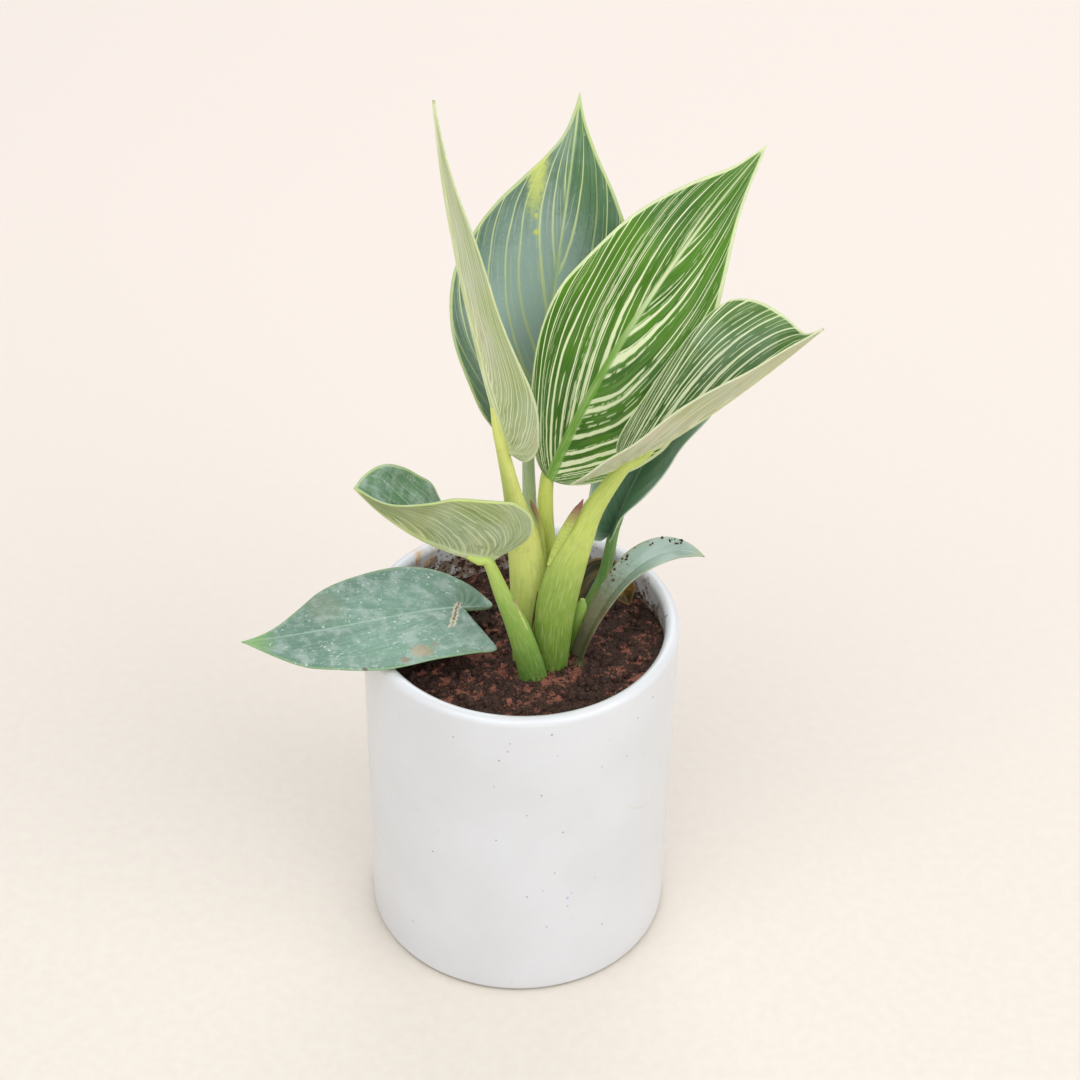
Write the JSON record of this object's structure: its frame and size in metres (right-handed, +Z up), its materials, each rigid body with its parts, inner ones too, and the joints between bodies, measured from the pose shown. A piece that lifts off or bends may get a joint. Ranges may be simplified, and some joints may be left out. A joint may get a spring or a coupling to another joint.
{
  "type": "potted plant",
  "caption": "Young leafy house plant with broad pointed leaves, standing in soil in a round straight-sided glazed pot with a flat base.",
  "frame": {"origin": "middle of the pot's flat base, where it rests on a surface", "axes": "+Z up along the pot's axis; the side seen in the picture faces -Y; +X is to the right in the picture"},
  "size_m": [0.1705, 0.1029, 0.2945],
  "materials": {
    "pot": "gloss",
    "soil": "matte",
    "rootstock": "matte",
    "leaf_left_tall": "satin",
    "leaf_back": "satin",
    "leaf_centre": "satin",
    "leaf_right": "satin",
    "leaf_left_cupped": "satin",
    "leaf_on_rim": "satin",
    "leaf_back_right": "satin",
    "leaf_right_strap": "satin",
    "leaf_withered": "matte",
    "leaf_bud": "satin"
  },
  "bodies": {
    "root": {"pot": "pot", "soil": "soil", "rootstock": "rootstock", "leaf_left_tall": "leaf_left_tall", "leaf_back": "leaf_back", "leaf_centre": "leaf_centre", "leaf_right": "leaf_right", "leaf_left_cupped": "leaf_left_cupped", "leaf_on_rim": "leaf_on_rim", "leaf_back_right": "leaf_back_right", "leaf_right_strap": "leaf_right_strap", "leaf_withered": "leaf_withered", "leaf_bud": "leaf_bud"}
  },
  "joints": []
}
